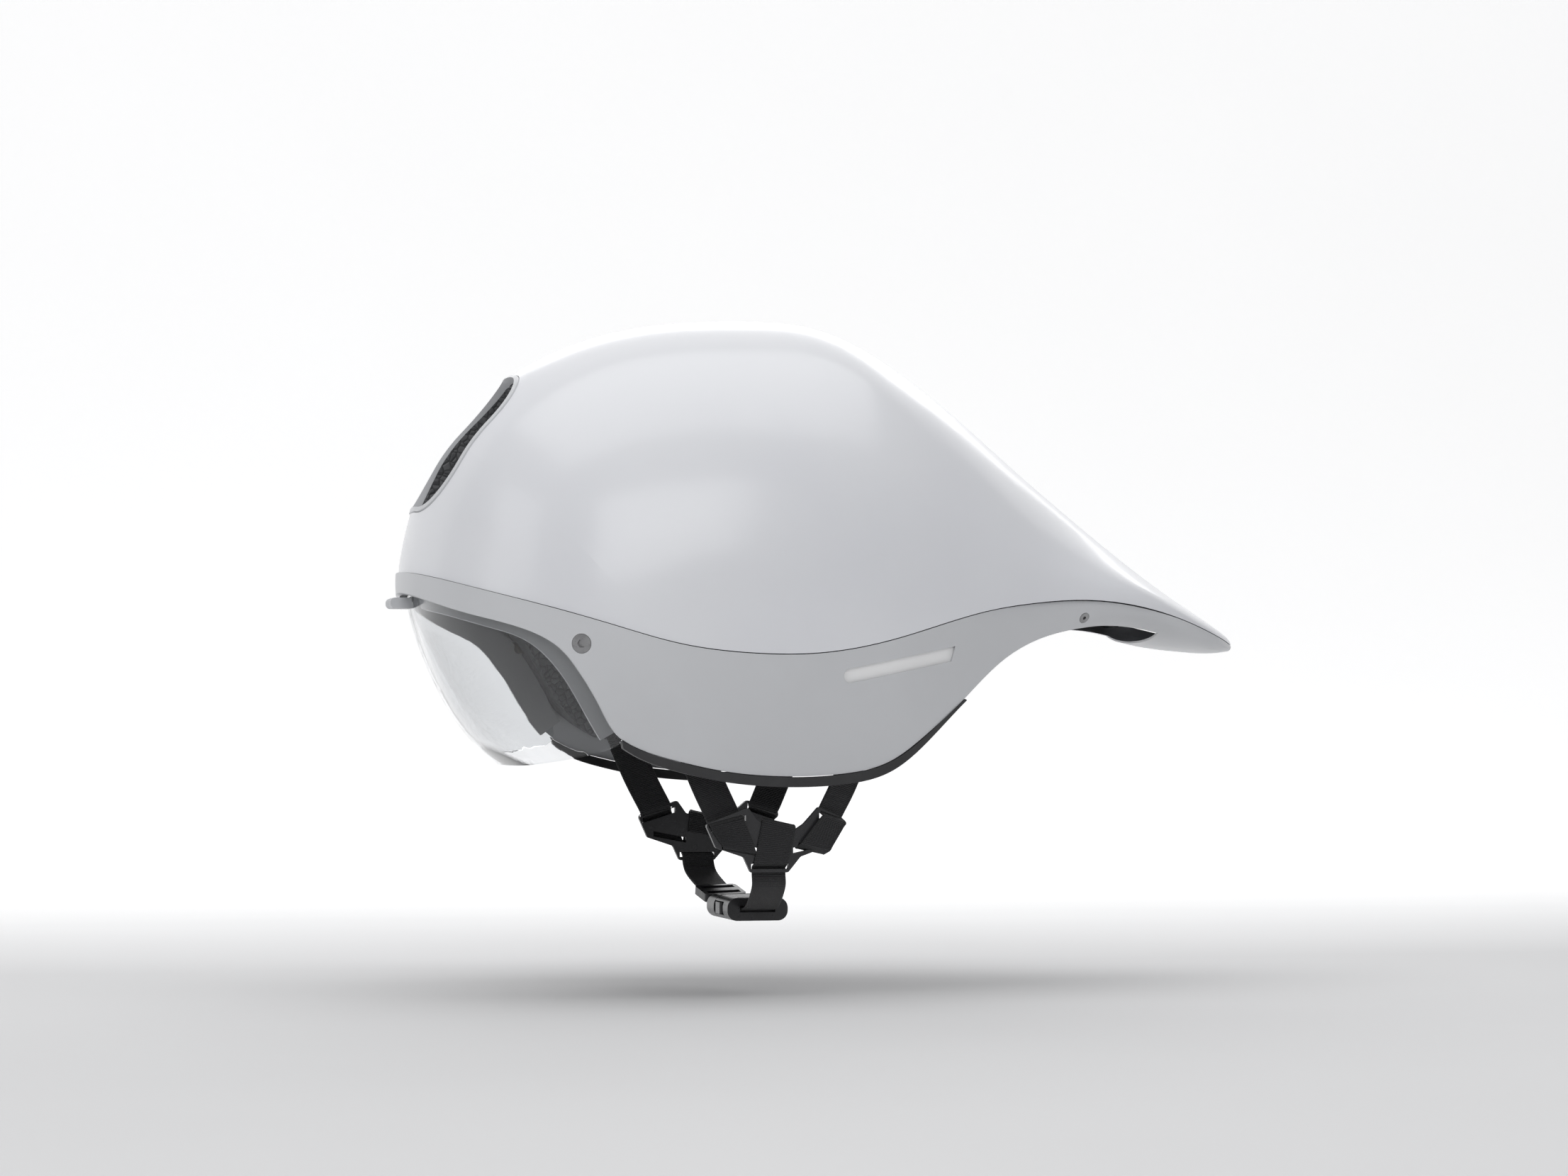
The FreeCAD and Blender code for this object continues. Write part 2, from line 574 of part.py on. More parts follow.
def toothed_band():
    """The left band: a rack above the pinion and an arm that reaches round to the nape."""
    pitch = math.pi * TOOTH_MODULE
    line = DIAL_Z + PITCH_RADIUS
    tip, root, back = line - 0.65, line + 1.1, line + 4.0
    half = pitch / 4 - 0.12
    lean = math.tan(math.radians(20))
    teeth = []
    for k in range(-4, 5):
        y = pitch * k
        teeth += [(y - half - (root - line) * lean, root), (y - half + (line - tip) * lean, tip),
                  (y + half - (line - tip) * lean, tip), (y + half + (root - line) * lean, root)]
    outline = [(-16.0, root)] + teeth + [(15.5, root), (15.5, back), (-16.0, back), (-16.0, root)]
    rack = Part.Face(Part.makePolygon([Vector(112.1, y, z) for y, z in outline])).extrude(Vector(1.8, 0, 0))
    z0, z1 = line + 0.2, line + 3.9
    reach = box((112.1, -32, z0), (113.9, -15, z1))
    path = [Vector(112.1, -31, z0), Vector(108.6, -40.5, z0), Vector(99.0, -45.0, z0), Vector(90.0, -45.6, z0)]
    outer = [Vector(113.9, -31, z0), Vector(110.2, -41.8, z0), Vector(99.6, -46.8, z0), Vector(90.0, -47.4, z0)]
    arm = Part.Face(Part.Wire([spline(path), Part.makeLine(path[-1], outer[-1]), spline(outer),
                               Part.makeLine(outer[0], path[0])])).extrude(Vector(0, 0, z1 - z0))
    paddle = rounded_box((90.5, -47.3, 10), (101, -45.7, 33), 3.0, (0, 1, 0))
    return fuse(rack, reach, arm, paddle)


def cradle():
    groove = box((107.8, -25.7, -10), (110.2, 25.7, 60))
    rail = box((104.8, -29, -2), (111.2, -23.6, 46)).cut(groove)
    both_sides("height_rail", rail)
    plate = rounded_box((108, -25.5, 7), (110, 25.5, 33), 4.0, (1, 0, 0))
    plate = plate.cut(cylinder((100, 0, DIAL_Z), (115, 0, DIAL_Z), SHAFT_RADIUS + RUNNING_GAP))
    posts = [cylinder((109, y, DIAL_Z), (115.0, y, DIAL_Z), 2.4) for y in (-18.5, 18.5)]
    pilots = [cylinder((110.5, y, DIAL_Z), (116.0, y, DIAL_Z), 0.9) for y in (-18.5, 18.5)]
    plate = fuse(plate, *posts)
    for pilot in pilots:
        plate = plate.cut(pilot)
    node("cradle_frame", plate)
    cover = rounded_box((115.05, -21.5, 9), (116.6, 21.5, 31), 9.0, (1, 0, 0))
    cover = cover.cut(cylinder((110, 0, DIAL_Z), (120, 0, DIAL_Z), SHAFT_RADIUS + RUNNING_GAP))
    fixings = []
    for y in (-18.5, 18.5):
        cover = cover.cut(cylinder((110, y, DIAL_Z), (120, y, DIAL_Z), 1.1))
        fixings.append(fuse(cylinder((116.65, y, DIAL_Z), (117.9, y, DIAL_Z), 2.0),
                            cylinder((111.0, y, DIAL_Z), (117.0, y, DIAL_Z), 0.85)))
    node("dial_cover", cover)
    node("cradle_screws", *fixings)
    grip = cylinder((118.3, 0, DIAL_Z), (125.5, 0, DIAL_Z), DIAL_RADIUS)
    for k in range(16):
        angle = 2 * math.pi * k / 16
        y, z = (DIAL_RADIUS + 0.7) * math.sin(angle), DIAL_Z + (DIAL_RADIUS + 0.7) * math.cos(angle)
        grip = grip.cut(cylinder((118, y, z), (126, y, z), 1.5))
    shaft = cylinder((107.2, 0, DIAL_Z), (118.5, 0, DIAL_Z), SHAFT_RADIUS)
    node("dial_knob", fuse(grip, shaft))
    bore = cylinder((100, 0, DIAL_Z), (120, 0, DIAL_Z), SHAFT_RADIUS + 0.01)
    node("dial_pinion", pinion().cut(bore))
    node("size_band_left", toothed_band())
    turned = toothed_band()
    turned.rotate(Vector(0, 0, DIAL_Z), Vector(1, 0, 0), 180)
    node("size_band_right", turned)
    pad = rounded_box((89.0, -44.7, 9), (98.5, -41.7, 34), 3.0, (0, 1, 0))
    node("nape_pad_left", pad)
    turned_pad = pad.copy()
    turned_pad.rotate(Vector(0, 0, DIAL_Z), Vector(1, 0, 0), 180)
    node("nape_pad_right", turned_pad)
    node("cradle_pad", rounded_box((103.5, -20, 9), (107.0, 20, 31), 5.0, (1, 0, 0)))


# ---- straps and buckle ---------------------------------------------------------------------------------

def webbing(stations, width=WEB_WIDTH, thick=WEB_THICK):
    """A flat strap through stations, each a middle point and the direction of its width."""
    middles = [Vector(*p) for p, _ in stations]
    sections = []
    for i, (_, across) in enumerate(stations):
        before, after = middles[max(i - 1, 0)], middles[min(i + 1, len(middles) - 1)]
        across = Vector(*across).normalize()
        run = (after - before).normalize()
        face = run.cross(across).normalize() * (thick / 2)
        half = across * (width / 2)
        corners = [middles[i] - half - face, middles[i] + half - face, middles[i] + half + face,
                   middles[i] - half + face]
        sections.append(Part.makePolygon(corners + corners[:1]))
    return Part.makeLoft(sections, True, True)


# Straps on the wearer's left: each station is a middle point and the direction of the strap's width. The front and
# rear straps go behind their wing of the divider, out through its upper slot and back in through its lower slot.
FRONT_STRAP = (((-31.0, -74.6, 2.0), (0.94, 0, 0.34)), ((-22.0, -75.0, -20.0), (0.94, 0, 0.34)),
               ((-12.4, -72.4, -43.0), (0.94, 0, 0.33)), ((-5.4, -70.6, -57.2), (0.95, 0, 0.30)),
               ((-4.7, -70.8, -59.0), (0.95, 0, 0.29)), ((-3.7, -74.4, -61.2), (0.96, 0, 0.25)),
               ((-3.1, -74.7, -62.8), (0.96, 0, 0.20)), ((1.2, -74.7, -71.4), (0.98, 0, -0.15)),
               ((1.9, -74.3, -72.8), (0.98, 0, -0.18)), ((2.3, -71.9, -73.9), (0.98, 0, -0.20)))
REAR_STRAP = (((70.0, -59.0, 4.0), (0.82, 0.40, -0.30)), ((60.6, -63.0, -18.0), (0.82, 0.42, -0.30)),
              ((50.6, -63.8, -43.5), (0.83, 0.48, -0.28)), ((44.8, -62.0, -56.4), (0.82, 0.51, -0.26)),
              ((44.0, -62.6, -58.2), (0.82, 0.51, -0.26)), ((45.0, -66.4, -60.2), (0.82, 0.51, -0.26)),
              ((43.6, -67.2, -61.8), (0.83, 0.49, -0.26)), ((36.4, -71.9, -70.4), (0.92, 0.31, -0.22)),
              ((35.4, -72.0, -71.8), (0.93, 0.28, -0.21)), ((33.4, -69.4, -73.4), (0.94, 0.26, -0.20)))
DIVIDER_THICK = 2.4
DIVIDER_PLAN = ((-20.0, -73.8), (0.0, -73.8), (20.0, -73.8), (28.0, -73.1), (36.0, -70.2), (44.0, -65.5),
                (54.0, -59.3))
DIVIDER_LEAN = (1.0, 1.0, 1.0, 1.03, 1.12, 1.18, 1.18)     # how much wider the slab measures across its bend
DIVIDER_OUTLINE = [(-12.8, -61.9), (5.6, -54.9), (9.8, -60.8), (25.9, -64.5), (30.0, -62.0), (37.4, -54.8),
                   (51.0, -60.4), (43.5, -70.4), (40.0, -72.2), (28.6, -75.8), (23.0, -82.4), (6.6, -82.4),
                   (3.6, -75.8), (-8.4, -71.8)]
# Both ends of each slot's outer edge, and the direction it is wide in.
DIVIDER_SLOTS = (((-10.6, -62.9), (4.6, -58.1), -2.4), ((-5.5, -71.4), (9.8, -74.4), 2.4),
                 ((37.6, -57.3), (50.2, -61.9), -2.4), ((25.2, -74.4), (41.6, -71.0), 2.4),
                 ((6.9, -80.9), (22.8, -80.9), 2.2))


def plate_xz(points, low_y, high_y):
    """A flat plate, drawn from the side."""
    face = Part.Face(Part.makePolygon([Vector(x, low_y, z) for x, z in points + points[:1]]))
    return face.extrude(Vector(0, high_y - low_y, 0))


def divider():
    """The slider that gathers the front and rear strap into the chin strap. Its rear wing bends round the neck."""
    plate = plate_xz(DIVIDER_OUTLINE, -80, -50)
    edges = [e for e in plate.Edges if abs(e.tangentAt(e.FirstParameter).y) > 0.99]
    plate = plate.makeFillet(1.5, edges)
    outer = [Vector(x, y, -90) for x, y in DIVIDER_PLAN]
    inner = [p + Vector(0, DIVIDER_THICK * lean, 0) for p, lean in zip(outer, DIVIDER_LEAN)]
    rim = [spline(outer), Part.makeLine(outer[-1], inner[-1]), spline(inner), Part.makeLine(inner[0], outer[0])]
    plate = plate.common(Part.Face(Part.Wire(rim)).extrude(Vector(0, 0, 60)))
    for (x0, z0), (x1, z1), wide in DIVIDER_SLOTS:
        plate = plate.cut(plate_xz([(x0, z0), (x1, z1), (x1, z1 + wide), (x0, z0 + wide)], -80, -50))
    for path in (FRONT_STRAP, REAR_STRAP, DIVIDER_LOOP):
        plate = plate.cut(webbing(path, WEB_WIDTH + 0.6, WEB_THICK + 0.5))
    return plate


# The chin strap is sewn behind the divider, goes over its top edge, down its face, in through its lowest slot and
# behind its bottom bar, and from there to the buckle.
DIVIDER_LOOP = (((17.9, -70.5, -70.5), (0.985, 0, -0.17)), ((18.6, -70.6, -63.2), (0.975, 0, -0.224)),
                ((18.9, -71.2, -61.8), (0.975, 0, -0.224)), ((19.0, -72.6, -61.2), (0.975, 0, -0.224)),
                ((18.9, -74.0, -61.8), (0.975, 0, -0.224)), ((18.6, -74.7, -63.2), (0.975, 0, -0.224)),
                ((15.6, -74.7, -77.0), (1, 0, -0.02)), ((15.3, -74.3, -78.6), (1, 0, 0)),
                ((15.2, -70.9, -80.0), (1, 0, 0)), ((15.2, -70.4, -81.6), (1, 0, 0)),
                ((15.3, -70.2, -83.6), (1, 0, 0)))
CHIN_STRAP = (((15.4, -70.0, -84.1), (1, 0, 0)), ((16.2, -66.6, -88.4), (1, 0, 0)),
              ((18.6, -50.0, -94.6), (1, 0, 0)), ((21.2, -32.0, -98.8), (1, 0, 0)),
              ((22.0, -22.0, -100.2), (1, 0, 0)), ((22.0, -18.4, -100.4), (1, 0, 0)))
LOCK_MIDDLE, LOCK_RUN = Vector(19.6, 43.0, -96.2), Vector(-2.6, 18.0, 4.2)


def strap_anchor(low, high, turn, strap):
    """A block moulded into the foam's pocket, holding a strap's upper end."""
    block = rounded_box(low, high, 2.0, (0, 1, 0))
    block.rotate(Vector(*strap[0][0]), Vector(0, 0, 1), turn)
    return block.cut(webbing(strap, WEB_WIDTH + 0.2, WEB_THICK + 0.1))


def straps():
    both_sides("front_strap", webbing(FRONT_STRAP))
    both_sides("rear_strap", webbing(REAR_STRAP))
    both_sides("strap_divider", divider())
    both_sides("divider_web", webbing(DIVIDER_LOOP))
    both_sides("front_anchor", strap_anchor((-40.5, -76.8, -1.0), (-21.5, -72.4, 10.0), 0, FRONT_STRAP))
    both_sides("rear_anchor", strap_anchor((60.5, -61.2, 1.0), (79.5, -56.8, 12.0), 24, REAR_STRAP))


def buckle_housing():
    """The socket half: a flat sleeve, open at its mouth and along both sides."""
    x0, x1 = BUCKLE_X - BUCKLE_WIDTH / 2, BUCKLE_X + BUCKLE_WIDTH / 2
    z0, z1 = BUCKLE_Z - BUCKLE_THICK / 2, BUCKLE_Z + BUCKLE_THICK / 2
    shell = rounded_box((x0, -21.0, z0), (x1, 6.0, z1), 4.4, (0, 1, 0))
    room = box((x0 - 1, -11.5, BUCKLE_Z - 2.9), (x1 + 1, 7, BUCKLE_Z + 2.9))
    ribs = [box((BUCKLE_X - 2.2, -12, z), (BUCKLE_X + 2.2, 5, z + 1.2))
            for z in (BUCKLE_Z - 2.9, BUCKLE_Z + 1.7)]
    slot = box((BUCKLE_X - 8.2, -19.2, z0 - 1), (BUCKLE_X + 8.2, -15.2, z1 + 1))
    entry = box((BUCKLE_X - 7.9, -22, BUCKLE_Z - 1.3), (BUCKLE_X + 7.9, -17, BUCKLE_Z + 1.6))
    shell = shell.cut(room).cut(slot).cut(entry)
    return fuse(shell, *ribs)


def buckle_plug():
    """The tongue half: crossbar, strap bars and the guide tongue between the prongs."""
    x0, x1 = BUCKLE_X - BUCKLE_WIDTH / 2, BUCKLE_X + BUCKLE_WIDTH / 2
    z0, z1 = BUCKLE_Z - BUCKLE_THICK / 2, BUCKLE_Z + BUCKLE_THICK / 2
    block = rounded_box((x0, 6.6, z0), (x1, 21.0, z1), 4.4, (0, 1, 0))
    block = block.cut(box((BUCKLE_X - 8.2, 15.2, z0 - 1), (BUCKLE_X + 8.2, 19.2, z1 + 1)))
    block = block.cut(box((BUCKLE_X - 7.9, 17, BUCKLE_Z - 1.3), (BUCKLE_X + 7.9, 22, BUCKLE_Z + 1.6)))
    tongue = box((BUCKLE_X - 1.8, -10.5, BUCKLE_Z - 1.3), (BUCKLE_X + 1.8, 7.5, BUCKLE_Z + 1.3))
    wells = [cylinder((x, 8.6, z0 - 1), (x, 8.6, z1 + 1), 1.6) for x in (x0 + 4.6, x1 - 4.6)]
    mouths = [box((x - 2.2, 5, BUCKLE_Z - 2.7), (x + 2.2, 8.6, BUCKLE_Z + 2.7)) for x in (x0 + 4.6, x1 - 4.6)]
    for cut in mouths + wells:
        block = block.cut(cut)
    return fuse(block, tongue)


def buckle_prong(side):
    """One spring prong on its pivot pin, with a ribbed thumb pad that stands out of the housing's side."""
    pivot = BUCKLE_X + side * (BUCKLE_WIDTH / 2 - 4.6)
    edge = BUCKLE_X + side * (BUCKLE_WIDTH / 2)
    pin = cylinder((pivot, 8.6, BUCKLE_Z - 4.6), (pivot, 8.6, BUCKLE_Z + 4.6), 1.54)
    arm = box((pivot - 1.1, -7.5, BUCKLE_Z - 2.4), (pivot + 1.1, 8.6, BUCKLE_Z + 2.4))
    low_x, high_x = sorted((pivot, edge + side * 0.6))
    thumb = rounded_box((low_x, -8.5, BUCKLE_Z - 2.5), (high_x, 1.5, BUCKLE_Z + 2.5), 1.2, (0, 0, 1))
    return fuse(pin, arm, thumb)


def buckle():
    node("buckle_housing", buckle_housing())
    node("buckle_plug", buckle_plug())
    node("buckle_prong_front", buckle_prong(-1))
    node("buckle_prong_rear", buckle_prong(1))
    left = webbing(CHIN_STRAP)
    node("chin_strap_left", left)
    node("chin_strap_right", mirrored(left))
    lock = rounded_box((-9.8, -8, -1.8), (9.8, 8, 1.8), 2.0, (0, 0, 1))
    lock = lock.cut(box((-7.8, -6, -3), (7.8, -2.2, 3))).cut(box((-7.8, 2.2, -3), (7.8, 6, 3)))
    turn = FreeCAD.Rotation(Vector(1, 0, 0), LOCK_RUN, Vector(0, 0, 1), "YXZ")
    lock.Placement = FreeCAD.Placement(LOCK_MIDDLE, turn)
    lock = lock.cut(mirrored(webbing(CHIN_STRAP, WEB_WIDTH + 0.4, WEB_THICK + 0.2)))
    node("ladder_lock", lock)


# ---- build ---------------------------------------------------------------------------------------------

def build():
    shells()
    screws()
    edge_trim()
    side_inlays()
    vent_frame()
    foam_liner()
    comfort_pads()
    visor()
    visor_ledge()
    cradle()
    straps()
    buckle()
    os.makedirs("parts", exist_ok=True)
    for name, shape in NODES.items():
        shape.exportStep(f"parts/{name}.step")


build()
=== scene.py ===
"""Looks for the aero time-trial helmet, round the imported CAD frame: finishes, webbing, soft pads and a studio.

Every length is in metres unless a name or comment says millimetres.
"""
import bpy
import bmesh
import json
import math
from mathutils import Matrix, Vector
from mathutils.bvhtree import BVHTree


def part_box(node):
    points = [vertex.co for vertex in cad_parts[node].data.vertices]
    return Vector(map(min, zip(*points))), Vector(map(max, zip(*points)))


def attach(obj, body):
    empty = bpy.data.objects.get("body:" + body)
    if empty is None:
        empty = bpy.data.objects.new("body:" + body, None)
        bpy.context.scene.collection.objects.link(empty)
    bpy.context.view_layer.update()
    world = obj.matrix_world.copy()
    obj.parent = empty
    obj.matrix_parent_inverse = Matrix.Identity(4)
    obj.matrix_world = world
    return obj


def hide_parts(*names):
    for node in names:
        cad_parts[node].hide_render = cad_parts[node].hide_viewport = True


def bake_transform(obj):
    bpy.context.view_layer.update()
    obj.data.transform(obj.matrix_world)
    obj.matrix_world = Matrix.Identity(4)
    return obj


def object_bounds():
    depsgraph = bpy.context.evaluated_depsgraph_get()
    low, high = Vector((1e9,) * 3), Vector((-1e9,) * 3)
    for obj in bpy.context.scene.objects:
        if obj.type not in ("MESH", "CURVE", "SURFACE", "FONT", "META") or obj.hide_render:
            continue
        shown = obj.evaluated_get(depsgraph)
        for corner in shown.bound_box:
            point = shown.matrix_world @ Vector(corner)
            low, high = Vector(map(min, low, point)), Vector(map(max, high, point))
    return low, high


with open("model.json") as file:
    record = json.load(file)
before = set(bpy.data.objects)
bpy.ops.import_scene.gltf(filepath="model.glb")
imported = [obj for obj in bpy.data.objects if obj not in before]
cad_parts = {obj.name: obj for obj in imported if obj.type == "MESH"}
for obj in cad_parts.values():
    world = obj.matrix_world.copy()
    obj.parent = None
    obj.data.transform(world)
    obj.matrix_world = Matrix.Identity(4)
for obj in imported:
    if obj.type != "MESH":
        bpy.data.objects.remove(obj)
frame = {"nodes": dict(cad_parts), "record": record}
CAD_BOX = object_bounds()
NODES = frame["nodes"]
MM = 0.001


# ---- materials ----------------------------------------------------------------------------------

BEADS_PER_METRE = 330.0
RIB_PITCH, YARN_PITCH = 0.00078, 0.0005       # the webbing's ribs along it and its yarns across it
COLOR_A, COLOR_B, COLOR_RESULT = 6, 7, 2      # the sockets of a Mix node that carry colours


class Finish:
    """A Principled material with helpers for the textures that vary over its surface."""

    def __init__(self, name, color, roughness, **constants):
        self.material = bpy.data.materials.new(name)
        self.material.use_nodes = True
        self.tree = self.material.node_tree
        self.shader = self.tree.nodes["Principled BSDF"]
        self.color = (*color, 1.0)
        self.shader.inputs["Base Color"].default_value = self.color
        self.shader.inputs["Roughness"].default_value = roughness
        for socket, value in constants.items():
            self.shader.inputs[socket.replace("_", " ")].default_value = value
        self.place = self.add("ShaderNodeTexCoord").outputs["Object"]
        self.last_bump = None

    def add(self, kind, **settings):
        node = self.tree.nodes.new(kind)
        for key, value in settings.items():
            setattr(node, key, value)
        return node

    def link(self, a, b):
        self.tree.links.new(a, b)

    def math(self, operation, a, b=0.0):
        node = self.add("ShaderNodeMath", operation=operation)
        for socket, value in zip(node.inputs, (a, b)):
            if isinstance(value, (int, float)):
                socket.default_value = value
            else:
                self.link(value, socket)
        return node.outputs[0]

    def noise(self, scale, detail=2.0, stretch=None):
        node = self.add("ShaderNodeTexNoise")
        node.inputs["Scale"].default_value = scale
        node.inputs["Detail"].default_value = detail
        self.link(self.place if stretch is None else self.stretched(stretch), node.inputs["Vector"])
        return node.outputs["Fac"]

    def stretched(self, scale):
        node = self.add("ShaderNodeMapping")
        node.inputs["Scale"].default_value = scale
        self.link(self.place, node.inputs["Vector"])
        return node.outputs["Vector"]

    def cells(self, scale, feature="DISTANCE_TO_EDGE"):
        node = self.add("ShaderNodeTexVoronoi", feature=feature)
        node.inputs["Scale"].default_value = scale
        self.link(self.place, node.inputs["Vector"])
        return node

    def fit(self, value, low, high, to_low=0.0, to_high=1.0):
        """The value carried from one range to another, and held at its ends."""
        node = self.add("ShaderNodeMapRange")
        for key, number in (("From Min", low), ("From Max", high), ("To Min", to_low), ("To Max", to_high)):
            node.inputs[key].default_value = number
        self.link(value, node.inputs["Value"])
        return node.outputs["Result"]

    def tint(self, factor, other):
        """Mix towards another colour where factor is 1."""
        node = self.add("ShaderNodeMix", data_type="RGBA")
        before = self.shader.inputs["Base Color"]
        if before.is_linked:
            self.link(before.links[0].from_socket, node.inputs[COLOR_A])
        else:
            node.inputs[COLOR_A].default_value = self.color
        node.inputs[COLOR_B].default_value = (*other, 1.0)
        self.link(factor, node.inputs[0])
        self.link(node.outputs[COLOR_RESULT], before)
        return self

    def rough(self, factor, low, high):
        """Roughness from low to high as factor goes from 0 to 1."""
        self.link(self.fit(factor, 0.0, 1.0, low, high), self.shader.inputs["Roughness"])
        return self

    def bump(self, height, distance, strength=1.0):
        """Raise the surface by height, on top of any bump before it."""
        node = self.add("ShaderNodeBump")
        node.inputs["Strength"].default_value = strength
        node.inputs["Distance"].default_value = distance
        self.link(height, node.inputs["Height"])
        if self.last_bump is not None:
            self.link(self.last_bump, node.inputs["Normal"])
        self.last_bump = node.outputs["Normal"]
        self.link(self.last_bump, self.shader.inputs["Normal"])
        return self


def gloss_white():
    """Lacquered shell: a soft clear coat over faintly uneven white."""
    f = Finish("gloss_white", (0.80, 0.81, 0.84), 0.34, Coat_Weight=0.55, Coat_Roughness=0.17)
    f.tint(f.fit(f.noise(9.0, 3.0), 0.42, 0.62), (0.78, 0.79, 0.825))
    f.rough(f.noise(60.0, 3.0), 0.30, 0.38)
    return f.bump(f.noise(420.0, 1.0), 0.00003, 0.25)


def satin_white(name="satin_white", color=(0.63, 0.64, 0.66)):
    """Moulded white with a thin coat."""
    f = Finish(name, color, 0.42, Coat_Weight=0.25, Coat_Roughness=0.22)
    f.tint(f.fit(f.noise(14.0, 3.0), 0.42, 0.62), tuple(0.96 * c for c in color))
    f.rough(f.noise(90.0, 3.0), 0.36, 0.46)
    return f.bump(f.noise(1500.0, 2.0), 0.00003, 0.3)


def bead_foam():
    """Expanded foam: beads of slightly different greys, with painted shade darkening the creases between them.
    """
    f = Finish("bead_foam", (0.075, 0.077, 0.082), 0.62)
    beads = f.cells(BEADS_PER_METRE)
    shade = f.add("ShaderNodeRGBToBW")
    f.link(f.cells(BEADS_PER_METRE, "F1").outputs["Color"], shade.inputs[0])
    f.tint(f.fit(shade.outputs[0], 0.2, 0.8), (0.12, 0.122, 0.128))
    # Painted shade: the colour darkens towards each bead's edge, in the creases between the beads.
    f.tint(f.fit(beads.outputs["Distance"], 0.09, 0.0), (0.035, 0.036, 0.038))
    f.bump(f.fit(beads.outputs["Distance"], 0.0, 0.22), 0.0005, 0.8)
    f.rough(f.noise(500.0), 0.5, 0.75)
    return f.bump(f.noise(2500.0), 0.00006, 0.6)


def soft_rubber():
    f = Finish("soft_rubber", (0.028, 0.028, 0.03), 0.55)
    f.tint(f.fit(f.noise(40.0, 3.0), 0.4, 0.7), (0.040, 0.040, 0.042))
    f.rough(f.noise(260.0, 3.0), 0.45, 0.62)
    return f.bump(f.noise(3000.0), 0.00004, 0.6)


def moulded(name, color, low, high):
    """Moulded plastic whose roughness wanders from low to high."""
    f = Finish(name, color, low)
    f.tint(f.fit(f.noise(70.0, 3.0), 0.4, 0.7), tuple(min(1.0, 1.25 * c) for c in color))
    f.rough(f.noise(240.0, 3.0), low, high)
    return f.bump(f.noise(2200.0, 2.0), 0.00004, 0.5)


def steel():
    f = Finish("screw_steel", (0.36, 0.36, 0.365), 0.3, Metallic=1.0)
    f.tint(f.fit(f.noise(300.0, 2.0), 0.45, 0.65), (0.29, 0.29, 0.295))
    f.rough(f.noise(900.0, 3.0, stretch=(1, 1, 12)), 0.2, 0.42)
    return f.bump(f.noise(1600.0, 2.0, stretch=(1, 1, 10)), 0.00002, 0.5)


def brass():
    f = Finish("insert_brass", (0.30, 0.25, 0.17), 0.3, Metallic=1.0)
    f.tint(f.fit(f.noise(260.0, 2.0), 0.45, 0.65), (0.22, 0.18, 0.12))
    f.rough(f.noise(700.0), 0.25, 0.45)
    return f.bump(f.noise(1800.0), 0.00002, 0.5)


def nickel():
    f = Finish("magnet_nickel", (0.72, 0.71, 0.70), 0.2, Metallic=1.0)
    f.rough(f.noise(900.0), 0.14, 0.3)
    return f.bump(f.noise(1200.0), 0.00001, 0.4)


def clear_lens():
    f = Finish("clear_lens", (0.865, 0.875, 0.885), 0.0, Transmission_Weight=1.0, IOR=1.5)
    f.rough(f.fit(f.noise(30.0, 2.0), 0.5, 0.8), 0.0, 0.012)
    return f


def woven_strap():
    """Ribbed webbing. Its UV map is in metres: across the strap, then along it."""
    f = Finish("woven_strap", (0.006, 0.006, 0.007), 0.62, Sheen_Weight=0.06, Sheen_Roughness=0.5)
    where = f.add("ShaderNodeSeparateXYZ")
    f.link(f.add("ShaderNodeUVMap", uv_map="strap").outputs[0], where.inputs[0])
    across, along = where.outputs[0], where.outputs[1]
    wobble = f.math("MULTIPLY", f.math("SUBTRACT", f.noise(900.0), 0.5), 0.0003)
    rib = f.math("SINE", f.math("MULTIPLY", f.math("ADD", along, wobble), 2 * math.pi / RIB_PITCH))
    yarn = f.math("SINE", f.math("MULTIPLY", across, 2 * math.pi / YARN_PITCH))
    height = f.math("ADD", f.math("MULTIPLY", rib, 0.75), f.math("MULTIPLY", yarn, 0.25))
    # Painted shade and highlight: the colour follows the rib and yarn height, darker in the valleys and lighter
    # on the crests.
    f.tint(f.fit(height, -1.0, 1.0), (0.030, 0.030, 0.033))
    f.tint(f.fit(f.noise(50.0, 3.0), 0.45, 0.7, 0.0, 0.35), (0.022, 0.022, 0.023))
    f.rough(f.fit(height, -1.0, 1.0), 0.75, 0.5)
    return f.bump(height, 0.00022, 1.0)


def pad_cloth():
    """Fine knitted cloth."""
    f = Finish("pad_cloth", (0.035, 0.035, 0.038), 0.85, Sheen_Weight=0.5, Sheen_Roughness=0.4)
    knit = f.cells(1100.0, "F1").outputs["Distance"]
    f.tint(f.fit(knit, 0.0, 0.7), (0.070, 0.070, 0.075))
    f.tint(f.fit(f.noise(60.0, 4.0), 0.45, 0.7, 0.0, 0.4), (0.085, 0.085, 0.09))
    f.rough(f.noise(400.0), 0.75, 0.95)
    return f.bump(knit, 0.0002, 0.7)


def thread():
    f = Finish("pad_thread", (0.075, 0.075, 0.08), 0.6)
    f.tint(f.fit(f.noise(3000.0), 0.4, 0.6), (0.12, 0.12, 0.125))
    return f.bump(f.noise(4000.0, stretch=(1, 1, 4)), 0.00005, 0.8)


def studio_paper():
    """Pale paper that glows more the further back it runs, as if its far end were lit from its own side."""
    f = Finish("studio_paper", (0.72, 0.72, 0.725), 0.9, Emission_Color=(1.0, 1.0, 1.0, 1.0))
    f.tint(f.fit(f.noise(3.0, 3.0), 0.3, 0.8), (0.70, 0.70, 0.705))
    where = f.add("ShaderNodeSeparateXYZ")
    f.link(f.place, where.inputs[0])
    f.link(f.fit(where.outputs[1], 0.15, 1.3, 0.0, 0.62), f.shader.inputs["Emission Strength"])
    return f.bump(f.noise(250.0, 3.0), 0.0002, 0.2)


